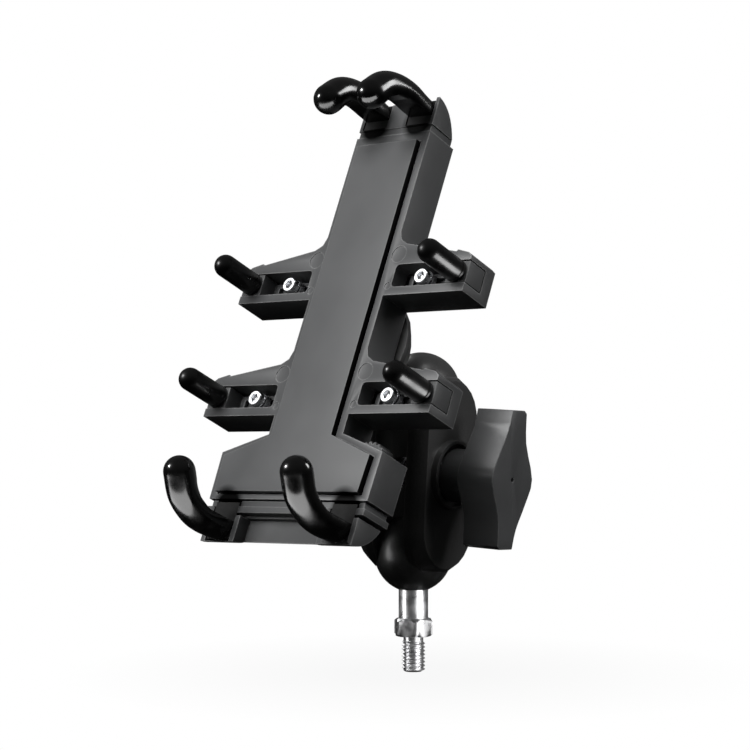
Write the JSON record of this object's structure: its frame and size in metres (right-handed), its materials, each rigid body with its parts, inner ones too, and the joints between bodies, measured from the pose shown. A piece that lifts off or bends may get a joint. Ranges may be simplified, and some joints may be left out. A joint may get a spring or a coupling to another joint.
{
  "type": "phone handlebar mount",
  "caption": "Claw-type phone holder on a double-ball clamp arm with a wing knob and a threaded ball stud, for a motorcycle handlebar or mirror boss.",
  "frame": {"origin": "middle of the flat free end of the threaded stud", "axes": "+Z along the stud towards the ball; +X along the clamp bolt towards the wing knob; the phone side of the holder faces -Y and up"},
  "size_m": [0.1, 0.1118, 0.2005],
  "materials": {
    "polished_steel": "polished",
    "zinc_steel": "bright zinc plated",
    "spring_steel": "drawn wire",
    "brass": "turned",
    "claw_rubber": "smooth moulded silicone, glossy",
    "ball_rubber": "moulded, semi-gloss",
    "pad_plastic": "fine matt grain",
    "knob_plastic": "fine matt grain",
    "cast_aluminium": "powder coated, satin black",
    "body_plastic": "fine spark-eroded grain"
  },
  "bodies": {
    "stud": {"ball_stud": "polished_steel"},
    "lower_swivel": {"lower_ball_cover": "ball_rubber"},
    "arm": {"arm_half_fixed": "cast_aluminium", "clamp_bolt": "zinc_steel", "arm_spring": "spring_steel"},
    "arm_clamp": {"arm_half_moving": "cast_aluminium", "knob_washer": "zinc_steel"},
    "knob": {"clamp_knob": "knob_plastic", "knob_insert": "brass"},
    "upper_tilt": {"upper_ball_cover": "ball_rubber"},
    "holder": {"ball_base": "cast_aluminium", "base_screw_1": "zinc_steel", "base_screw_2": "zinc_steel", "base_screw_3": "zinc_steel", "base_screw_4": "zinc_steel", "rear_cover": "body_plastic", "cover_screw_1": "zinc_steel", "cover_screw_2": "zinc_steel", "cover_screw_3": "zinc_steel", "cover_screw_4": "zinc_steel", "front_frame": "body_plastic", "front_pad": "pad_plastic", "top_return_spring": "spring_steel", "lock_wheel_pin": "spring_steel", "upper_left_screw": "zinc_steel", "upper_left_washer": "zinc_steel", "upper_left_spring": "spring_steel", "upper_right_screw": "zinc_steel", "upper_right_washer": "zinc_steel", "upper_right_spring": "spring_steel", "lower_left_screw": "zinc_steel", "lower_left_washer": "zinc_steel", "lower_left_spring": "spring_steel", "lower_right_screw": "zinc_steel", "lower_right_washer": "zinc_steel", "lower_right_spring": "spring_steel"},
    "top_clamp": {"top_clamp_head": "body_plastic", "top_claw_left": "claw_rubber", "top_claw_right": "claw_rubber"},
    "bottom_clamp": {"bottom_clamp_head": "body_plastic", "bottom_claw_left": "claw_rubber", "bottom_claw_right": "claw_rubber"},
    "lock_wheel": {"bottom_lock_wheel": "body_plastic"},
    "upper_left_arm": {"upper_left_slider": "body_plastic", "upper_left_finger": "claw_rubber"},
    "upper_right_arm": {"upper_right_slider": "body_plastic", "upper_right_finger": "claw_rubber"},
    "lower_left_arm": {"lower_left_slider": "body_plastic", "lower_left_finger": "claw_rubber"},
    "lower_right_arm": {"lower_right_slider": "body_plastic", "lower_right_finger": "claw_rubber"}
  },
  "joints": [
    {"name": "stud_swivel", "type": "hinge", "parent": "stud", "child": "lower_swivel", "pos_m": [0, 0, 0.04], "axis": [0, 0, 1], "continuous": true, "stiffness_Nm_per_rad": 20},
    {"name": "arm_tilt", "type": "hinge", "parent": "lower_swivel", "child": "arm", "pos_m": [0, 0, 0.04], "axis": [0.9992, -0.0011, -0.0388], "range_deg": [-90, 90], "stiffness_Nm_per_rad": 40},
    {"name": "arm_open", "type": "slide", "parent": "arm", "child": "arm_clamp", "axis": [0.9992, -0.0011, -0.0388], "range_m": [0, 0.002], "stiffness_N_per_m": 3000, "springref_m": -0.002, "deforming": ["arm_spring"]},
    {"name": "knob_turn", "type": "hinge", "parent": "arm_clamp", "child": "knob", "pos_m": [0.00107, 0.00076, 0.06747], "axis": [0.9992, -0.0011, -0.0388], "range_deg": [0, 721]},
    {"name": "holder_tilt", "type": "hinge", "parent": "arm", "child": "upper_tilt", "pos_m": [0.00213, 0.00152, 0.09494], "axis": [0.9992, -0.0011, -0.0388], "range_deg": [-60, 15], "stiffness_Nm_per_rad": 20},
    {"name": "holder_spin", "type": "hinge", "parent": "upper_tilt", "child": "holder", "pos_m": [0.00213, 0.00152, 0.09494], "axis": [-0.079, -0.9029, 0.4226], "continuous": true, "stiffness_Nm_per_rad": 10},
    {"name": "top_clamp_slide", "type": "slide", "parent": "holder", "child": "top_clamp", "axis": [0.0064, 0.4235, 0.9059], "range_m": [0, 0.03], "stiffness_N_per_m": 150, "springref_m": -0.02, "deforming": ["top_return_spring"]},
    {"name": "bottom_clamp_slide", "type": "slide", "parent": "holder", "child": "bottom_clamp", "axis": [-0.0064, -0.4235, -0.9059], "range_m": [0, 0.009], "stiffness_N_per_m": 3000},
    {"name": "lock_wheel_turn", "type": "hinge", "parent": "holder", "child": "lock_wheel", "pos_m": [0.02378, -0.05596, 0.07154], "axis": [-0.079, -0.9029, 0.4226], "range_deg": [0, 90], "stiffness_Nm_per_rad": 0.01},
    {"name": "upper_left_slide", "type": "slide", "parent": "holder", "child": "upper_left_arm", "axis": [-0.9969, 0.0743, -0.0277], "range_m": [-0.008, 0.006], "stiffness_N_per_m": 2000},
    {"name": "upper_right_slide", "type": "slide", "parent": "holder", "child": "upper_right_arm", "axis": [0.9969, -0.0743, 0.0277], "range_m": [-0.008, 0.006], "stiffness_N_per_m": 2000},
    {"name": "lower_left_slide", "type": "slide", "parent": "holder", "child": "lower_left_arm", "axis": [-0.9969, 0.0743, -0.0277], "range_m": [-0.008, 0.006], "stiffness_N_per_m": 2000},
    {"name": "lower_right_slide", "type": "slide", "parent": "holder", "child": "lower_right_arm", "axis": [0.9969, -0.0743, 0.0277], "range_m": [-0.008, 0.006], "stiffness_N_per_m": 2000}
  ],
  "couplings": [
    {"joint": "knob_turn", "follows": "arm_open", "rad_per_m": 6283.2}
  ]
}
